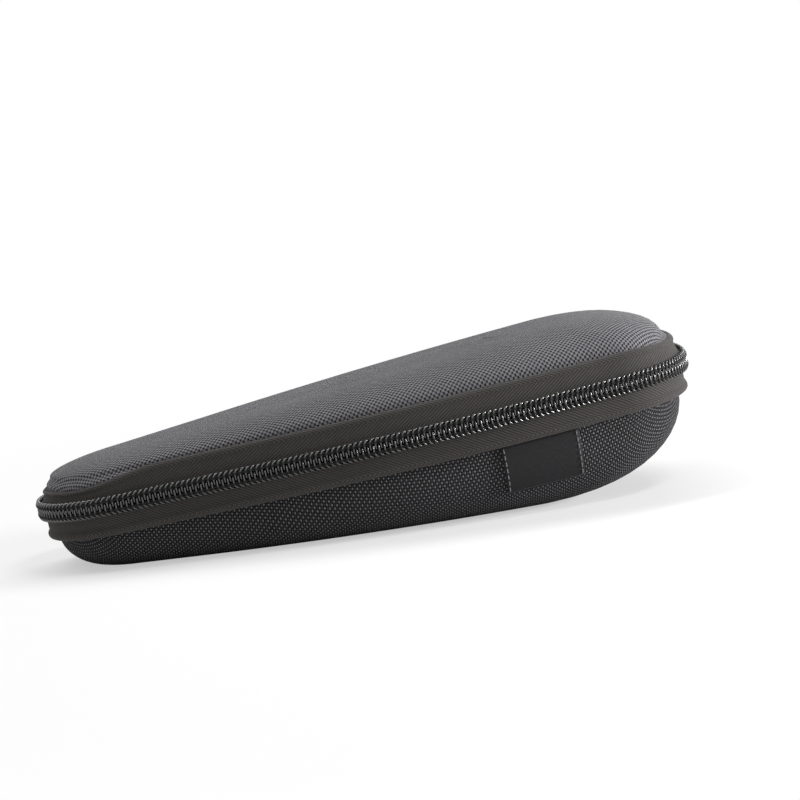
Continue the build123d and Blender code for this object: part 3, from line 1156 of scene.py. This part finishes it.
class CASE_OT_slider(bpy.types.Operator):
    """Make the zip's slider with its bridge, and the pull tab on its pin"""

    bl_idname = "case.slider"
    bl_label = "Slider And Pull"

    # How far the pin lies outside the zip, in millimetres
    PIN_OUT = 3.6

    def execute(self, context):
        place = SliderFrame()
        metal = lacquered_metal("slider_metal", finishes().lacquer)
        flat, upright = (0, 2, 1), (0, 1, 2)
        edge = [(-5.0, 2.9), (-2.0, 3.5), (2.2, 4.0), (5.0, 3.3)]
        plate = rounded([(u, -z) for u, z in edge] + edge[::-1], 1.0)
        post = rounded(box_outline(2.6, -0.25, 5.0, 0.25), 0.2)
        works = [slab(plate, 1.8, 2.8, flat, 0.3), slab(plate, -3.36, -2.36, flat, 0.3)]
        works.append(slab(post, -2.5, 2.0, flat, 0.08))
        for side in (-1, 1):
            lip = [(-4.2, side * 2.95), (4.2, side * 3.25), (4.2, side * 3.95), (-4.2, side * 3.3)]
            works.append(slab(rounded(lip, 0.3), 0.5, 1.95, flat, 0.12))
        arch = [(-3.2, 2.6), (-3.2, 4.3), (-2.3, 5.2), (2.3, 5.2), (3.2, 4.3), (3.2, 2.6)]
        arch += [(2.4, 2.6), (2.4, 3.9), (1.9, 4.4), (-1.9, 4.4), (-2.4, 3.9), (-2.4, 2.6)]
        works.append(slab(rounded(arch, 0.35, 3), -1.2, 1.2, upright, 0.22))
        mesh = merged(works)
        place.place(mesh)
        adopt("slider_casting", mesh, metal, "slider", replaced=("slider_body",))

        lacquer = lacquered_metal("pull_metal", finishes().lacquer)
        pin, radius = bmesh.new(), 0.45
        bmesh.ops.create_cone(pin, cap_ends=True, segments=20, radius1=radius, radius2=radius, depth=4.2)
        bmesh.ops.translate(pin, verts=pin.verts, vec=(0, self.PIN_OUT, 0))
        mesh = merged([self.tab_plate(0.5, 0.14, 0.0), self.tab_plate(0.3, 0.1, 0.75), pin])
        place.place(mesh)
        adopt("pull_casting", mesh, lacquer, "pull", replaced=("pull_tab",))
        return {"FINISHED"}

    def tab_plate(self, half_thickness, bevel, inset):
        """Plate of the pull with its two arms; an inset gives its sunk panel and hole."""
        curve = bpy.data.curves.new("pull_outline", "CURVE")
        curve.dimensions = "2D"
        curve.fill_mode = "BOTH"
        curve.extrude = half_thickness - bevel
        curve.bevel_depth = bevel
        curve.bevel_resolution = 2
        end, half = -23.1, 2.6
        if inset:
            tongue = box_outline(end + inset, -half + inset, -7.0, half - inset)
            turns = np.linspace(0, TURN, 25)[:-1]
            hole = [(-20.5 + 1.35 * math.cos(turn), 1.35 * math.sin(turn)) for turn in turns]
            loops = [rounded(tongue, 1.6 - inset * 0.5), hole]
        else:
            rim = [(0.55, 1.5), (0.55, half), (end, half), (end, -half), (0.55, -half), (0.55, -1.5)]
            rim += [(-6.1, -1.5), (-6.1, 1.5)]
            loops = [rounded(rim, 0.75, 6), rounded(box_outline(-22.3, -1.8, -7.2, 1.8), 1.2)]
        for loop in loops:
            spline = curve.splines.new("POLY")
            spline.points.add(len(loop) - 1)
            for point, (u, z) in zip(spline.points, loop):
                point.co = (u, z, 0, 1)
            spline.use_cyclic_u = True
        helper = bpy.data.objects.new("pull_outline", curve)
        bpy.context.scene.collection.objects.link(helper)
        mesh = bpy.data.meshes.new_from_object(helper.evaluated_get(bpy.context.evaluated_depsgraph_get()))
        bpy.data.objects.remove(helper)
        work = bmesh.new()
        work.from_mesh(mesh)
        for vert in work.verts:
            u, z, n = vert.co
            vert.co = (u, n + self.PIN_OUT, z)
        bmesh.ops.recalc_face_normals(work, faces=work.faces)
        return work


class CASE_OT_stops(bpy.types.Operator):
    """Make the stops at both ends of the coil"""

    bl_idname = "case.stops"
    bl_label = "Zip Stops"

    def execute(self, context):
        size = sizes()
        outline = Outline()
        works = []
        margin = 1.1 * MM
        top_stops, bottom_stop = ((0.15, 2.75), (-2.75, -0.15)), ((-2.75, 2.75),)
        material = lacquered_metal("stop_plastic", finishes().coil)
        places = ((size.hinge_start - margin, top_stops), (size.hinge_end + margin, bottom_stop))
        for place_x, spans in places:
            flat, normal = outline.at([outline.run_at(place_x)])
            heading = math.atan2(-normal[0, 0], normal[0, 1])
            for low, high in spans:
                work = slab(rounded(box_outline(-0.8, low, 0.8, high), 0.35), -0.7, 1.5, (0, 2, 1), 0.25)
                for vert in work.verts:
                    u, n, z = (c * MM for c in vert.co)
                    spot = flat[0] + Outline.turned(heading) * u + Outline.outward(heading) * n
                    vert.co = to_case(spot[:1], spot[1:], np.array([z]))[0]
                works.append(work)
        adopt("stop_blocks", merged(works), material, "base", replaced=("zipper_stops",))
        return {"FINISHED"}


class CASE_OT_label(bpy.types.Operator):
    """Make the bare sewn label on the near side of the base and its stitches"""

    bl_idname = "case.label"
    bl_label = "Label"

    def execute(self, context):
        size = sizes()
        half = Half(-1)
        top = size.wall_height + 0.2 * MM
        columns, rows = 24, 15
        xs = np.linspace(-0.5, 0.5, columns) * size.label_width + size.label_place
        depths = np.linspace(0, size.label_height, rows) + top
        points, cloth = [], []
        for proud in (0.12 * MM, 0.55 * MM):
            for depth in depths:
                line = half.surface_at(xs, np.full(columns, depth), proud)
                points.append(to_case(line[:, 0], line[:, 1], line[:, 2]))
                up = top + size.label_height - depth
                cloth.append(np.stack([xs, np.full(columns, up), xs * 0], 1))
        sheet = rows * columns
        faces = grid_faces(rows, columns, closed=False) + grid_faces(rows, columns, sheet, closed=False)
        rim = [(0, c) for c in range(columns)] + [(r, columns - 1) for r in range(1, rows)]
        rim += [(rows - 1, c) for c in range(columns - 2, -1, -1)] + [(r, 0) for r in range(rows - 2, 0, -1)]
        loop = [r * columns + c for r, c in rim]
        for a, b in zip(loop, loop[1:] + loop[:1]):
            faces.append((a, b, b + sheet, a + sheet))
        material = ribbed_satin("label_fabric", finishes().label)
        made = piece(
            "label_patch", np.concatenate(points), faces, material, "base",
            np.concatenate(cloth), replaced=("label",),
        )
        tidy_normals(made.data)
        self.stitches(half, top)
        return {"FINISHED"}

    def stitches(self, half, top):
        """Short threads down both sides of the label, each a small arch."""
        size = sizes()
        parts = []
        material = spun_thread("label_thread", finishes().label_thread)
        pitch, count = 1.9 * MM, 7
        thread_radius = 0.15 * MM
        sides = 6
        margin = (size.label_height - (count - 1) * pitch) / 2
        for side in (-1, 1):
            x = size.label_place + side * (size.label_width / 2 - 0.7 * MM)
            for number in range(count):
                middle = top + margin + number * pitch
                share = np.linspace(-1, 1, 7)
                depth = middle + share * 0.6 * MM
                proud = (0.5 + 0.2 * (1 - share**2)) * MM
                spots = np.concatenate([half.surface_at([x], [d], p) for d, p in zip(depth, proud)])
                path = to_case(spots[:, 0], spots[:, 1], spots[:, 2])
                reach = np.repeat(np.array([[1.0, 0.0, 0.0]]), len(path), axis=0)
                points, faces = tube(path, reach, np.full(len(path), thread_radius), sides)
                turns = np.tile(np.arange(sides) / sides, len(path))
                parts.append((points, faces, np.stack([np.repeat(depth, sides), turns, turns * 0], 1)))
        points, faces, cloth = joined(parts)
        piece(
            "label_stitches", points, faces, material, "base", cloth,
            replaced=("label_stitching",),
        )


class CASE_OT_inside(bpy.types.Operator):
    """Give the linings, bindings, foam and core cords their cloth"""

    bl_idname = "case.inside"
    bl_label = "Inside"

    def execute(self, context):
        paint = finishes()
        knit = brushed_knit("knitted_lining", paint.lining, 1.1 * MM)
        binding = object_weave("binding_tape", paint.webbing, 0.8 * MM, 0.12 * MM, 1500.0)
        foam = object_weave("moulded_foam", paint.foam, 3.0 * MM, 0.08 * MM, 1200.0)
        cord = object_weave("core_cord", paint.thread, 0.5 * MM, 0.08 * MM, 1500.0)
        for half in ("lid", "base"):
            for node, material in (
                (f"{half}_lining", knit),
                (f"{half}_rim_binding", binding),
                (f"{half}_shell", foam),
                (f"{half}_coil_core", cord),
            ):
                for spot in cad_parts[node].material_slots:
                    spot.material = material
        return {"FINISHED"}


class CASE_OT_stage(bpy.types.Operator):
    """Set up the table, the soft light and the camera"""

    bl_idname = "case.stage"
    bl_label = "Stage"

    def execute(self, context):
        scene = context.scene
        scene.view_settings.view_transform = "Standard"
        self.floor()
        self.world(scene)
        self.lamp("key_softbox", (-0.1, 0.26, 0.85), (0.0, 0.0, 0.03), 1.5, 0.08, 6.3)
        self.lamp("front_softbox", (0.3, -0.42, 0.82), (0.02, 0.0, 0.03), 0.4, 0.12, 2.4)
        self.lamp("right_softbox", (0.8, -0.16, 0.17), (0.07, 0.0, 0.04), 0.16, 0.16, 9.5)
        self.lamp("front_glint", (-0.35, -0.85, 0.6), (0.0, 0.0, 0.03), 0.06, 0.06, 0.5)
        self.camera(scene)
        return {"FINISHED"}

    def floor(self):
        mesh = bpy.data.meshes.new("table")
        reach = 12.0
        low = -0.05 * MM
        corners = [(-reach, -reach, low), (reach, -reach, low), (reach, reach, low), (-reach, reach, low)]
        mesh.from_pydata(corners, [], [(0, 1, 2, 3)])
        table = bpy.data.objects.new("table", mesh)
        finish = Finish("table_top")
        seen = finish.node("ShaderNodeLightPath", {}, {}, "Is Camera Ray")
        paint = finish.node("ShaderNodeBsdfDiffuse", {}, {"Color": rgba(finishes().floor)})
        white = finish.node("ShaderNodeEmission", {}, {"Color": (1, 1, 1, 1), "Strength": 1.0})
        place = finish.node("ShaderNodeNewGeometry", {}, {}, "Position")
        away = finish.node("ShaderNodeVectorMath", {"operation": "LENGTH"}, {0: place}, "Value")
        fade_start, fade_length = 0.12, 0.2
        fade = ((away - fade_start) * (1 / fade_length)).clamped() * 0.5 + 0.5
        mixed = finish.node("ShaderNodeMixShader", {}, {0: seen * fade, 1: paint, 2: white})
        finish.node("ShaderNodeOutputMaterial", {}, {"Surface": mixed})
        mesh.materials.append(finish.made)
        bpy.context.scene.collection.objects.link(table)

    def world(self, scene):
        """Soft light that the camera, glossy and transmission rays see as a white room."""
        finish = Finish("studio", bpy.data.worlds)
        rays = ("Is Camera Ray", "Is Glossy Ray", "Is Transmission Ray")
        camera, glossy, transmission = (finish.node("ShaderNodeLightPath", {}, {}, ray) for ray in rays)
        seen = camera.math("MAXIMUM", glossy.math("MAXIMUM", transmission))
        soft, white = (
            finish.node("ShaderNodeBackground", {}, {"Color": (1, 1, 1, 1), "Strength": strength})
            for strength in (0.18, 1.0)
        )
        mixed = finish.node("ShaderNodeMixShader", {}, {0: seen, 1: soft, 2: white})
        finish.node("ShaderNodeOutputWorld", {}, {"Surface": mixed})
        scene.world = finish.made

    def lamp(self, name, place, target, width, depth, power):
        light = bpy.data.lights.new(name, "AREA")
        light.shape = "RECTANGLE"
        light.size = width
        light.size_y = depth
        light.energy = power
        lamp = bpy.data.objects.new(name, light)
        lamp.location = place
        lamp.rotation_euler = (Vector(target) - Vector(place)).to_track_quat("-Z", "Y").to_euler()
        bpy.context.scene.collection.objects.link(lamp)

    def camera(self, scene):
        turn, rise, roll = (math.radians(degrees) for degrees in (-6.5, 8.0, 12.9))
        aim = np.array([88.6, 44.1, 0.0]) * MM
        distance = 0.8
        picture_side = 800
        back = np.array([math.sin(turn) * math.cos(rise), -math.cos(turn) * math.cos(rise), math.sin(rise)])
        right = np.array([math.cos(turn), math.sin(turn), 0.0])
        up = np.cross(back, right)
        right, up = (
            right * math.cos(roll) - up * math.sin(roll),
            right * math.sin(roll) + up * math.cos(roll),
        )
        origin, along, upward = seam_axes()
        side = np.array([0.0, 1.0, 0.0])
        seam = np.stack([along, side, upward], 1)
        axes = seam @ np.stack([right, up, back], 1)
        spot = origin + seam @ aim + axes[:, 2] * distance
        place = Matrix([[*axes[row], spot[row]] for row in range(3)] + [[0, 0, 0, 1]])
        data = bpy.data.cameras.new("camera")
        data.sensor_width = 36.0
        data.lens = 116.1
        data.shift_y = -1 / picture_side
        data.clip_start = 0.01
        data.clip_end = 20.0
        camera = bpy.data.objects.new("camera", data)
        camera.matrix_world = place
        scene.collection.objects.link(camera)
        scene.camera = camera


class CASE_PT_panel(bpy.types.Panel):
    """Sizes, finishes and makers of the case"""

    bl_idname = "CASE_PT_panel"
    bl_label = "Shaver Case"
    bl_space_type = "VIEW_3D"
    bl_region_type = "UI"
    bl_category = "Shaver Case"

    def draw(self, context):
        layout = self.layout
        for operator in OPERATORS:
            layout.operator(operator.bl_idname)
        for group in (context.scene.case_sizes, context.scene.case_finishes):
            column = layout.column()
            for name in group.bl_rna.properties.keys():
                if name not in {"rna_type", "name"}:
                    column.prop(group, name)


OPERATORS = (
    CASE_OT_covers,
    CASE_OT_tapes,
    CASE_OT_coil,
    CASE_OT_hinge,
    CASE_OT_slider,
    CASE_OT_stops,
    CASE_OT_label,
    CASE_OT_inside,
    CASE_OT_stage,
)
CLASSES = (CaseSizes, CaseFinishes, *OPERATORS, CASE_PT_panel)


def register():
    for part in CLASSES:
        bpy.utils.register_class(part)
    bpy.types.Scene.case_sizes = PointerProperty(type=CaseSizes)
    bpy.types.Scene.case_finishes = PointerProperty(type=CaseFinishes)


def unregister():
    del bpy.types.Scene.case_finishes
    del bpy.types.Scene.case_sizes
    for part in reversed(CLASSES):
        bpy.utils.unregister_class(part)


def main():
    register()
    for operator in OPERATORS:
        space, name = operator.bl_idname.split(".")
        result = getattr(getattr(bpy.ops, space), name)()
        if result != {"FINISHED"}:
            raise RuntimeError(f"{operator.bl_idname} did not finish")


if __name__ == "__main__":
    main()
